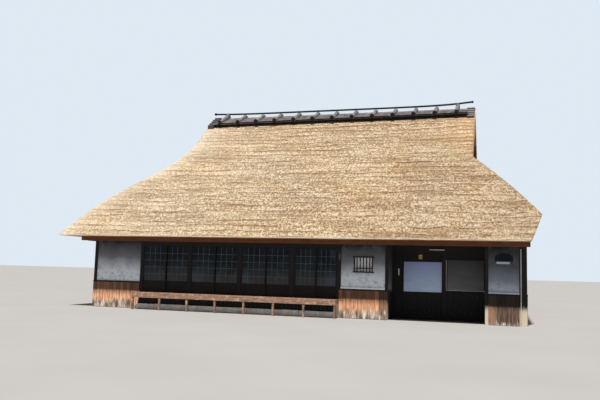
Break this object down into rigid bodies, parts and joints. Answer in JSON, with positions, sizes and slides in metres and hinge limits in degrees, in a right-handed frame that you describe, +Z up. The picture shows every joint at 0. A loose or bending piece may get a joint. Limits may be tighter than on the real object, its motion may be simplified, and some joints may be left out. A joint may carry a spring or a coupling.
{
  "type": "thatched farmhouse",
  "caption": "Single-storey thatched farmhouse with a tiled ridge, plaster and board walls, glazed sliding doors, a bench veranda and a recessed entrance.",
  "frame": {"origin": "on the ground under the middle of the roof, the ridge line lying over it", "axes": "+X to the right along the front, -Y out of the front, +Z up"},
  "size_m": [17.25, 11.22, 8.5174],
  "materials": {
    "thatch": "cut reed thatch, dry and matt",
    "dark_timber": "old dark timber",
    "eave_timber": "red-brown timber",
    "bark": "rough bark bedding",
    "roof_tile": "fired clay tile",
    "pole": "tarred round pole",
    "glass": "dark window glass in timber sashes",
    "plaster": "lime plaster",
    "paper": "pale backing board",
    "boards": "weathered upright boards",
    "door_boards": "dark door with a pale sheet panel",
    "floor_boards": "worn floor boards",
    "earth": "tamped earth",
    "bench": "sun-reddened boards",
    "pipe": "pale pipe"
  },
  "bodies": {
    "house": {"thatch_left": "thatch", "thatch_right": "thatch", "thatch_front": "thatch", "thatch_back": "thatch", "gable_left": "dark_timber", "gable_right": "dark_timber", "ridge_bedding": "bark", "ridge_tiles": "roof_tile", "ridge_pole": "pole", "front_eave": "eave_timber", "back_eave": "eave_timber", "left_eave": "eave_timber", "back_frame": "dark_timber", "left_frame": "dark_timber", "right_frame": "dark_timber", "front_plate": "dark_timber", "post_2": "dark_timber", "post_3": "dark_timber", "post_5": "dark_timber", "veranda_frame": "dark_timber", "glass_doors_bay_4": "glass", "glass_doors_bay_3": "glass", "glass_doors_bay_2": "glass", "plaster_wall_1": "plaster", "barred_window": "paper", "plaster_wall_2": "plaster", "arched_window": "glass", "plaster_wall_left": "plaster", "wainscot_1": "boards", "wainscot_2": "boards", "wainscot_left": "boards", "veranda_skirt": "boards", "back_wall": "plaster", "back_wainscot": "boards", "back_windows": "paper", "left_wall": "plaster", "left_window": "paper", "right_wall": "plaster", "left_wainscot": "boards", "right_wainscot": "boards", "entrance_wall_left": "plaster", "entrance_wall_right": "plaster", "entrance_ceiling": "eave_timber", "entrance_lintel": "dark_timber", "entrance_threshold": "dark_timber", "entrance_side_board": "dark_timber", "entrance_post": "dark_timber", "entrance_panel_bay": "dark_timber", "raised_floor": "floor_boards", "floor_frame": "dark_timber", "earth_floor": "earth", "veranda_bench": "bench", "corner_pipe": "pipe"},
    "entrance_door": {"entrance_door": "door_boards"},
    "glass_door_left": {"glass_door_left": "glass"},
    "glass_door_right": {"glass_door_right": "glass"}
  },
  "joints": [
    {"name": "entrance_door_slide", "type": "slide", "parent": "house", "child": "entrance_door", "axis": [1, 0, 0], "range_m": [0, 1.3]},
    {"name": "glass_door_left_slide", "type": "slide", "parent": "house", "child": "glass_door_left", "axis": [1, 0, 0], "range_m": [0, 0.72]},
    {"name": "glass_door_right_slide", "type": "slide", "parent": "house", "child": "glass_door_right", "axis": [1, 0, 0], "range_m": [-0.72, 0]}
  ]
}
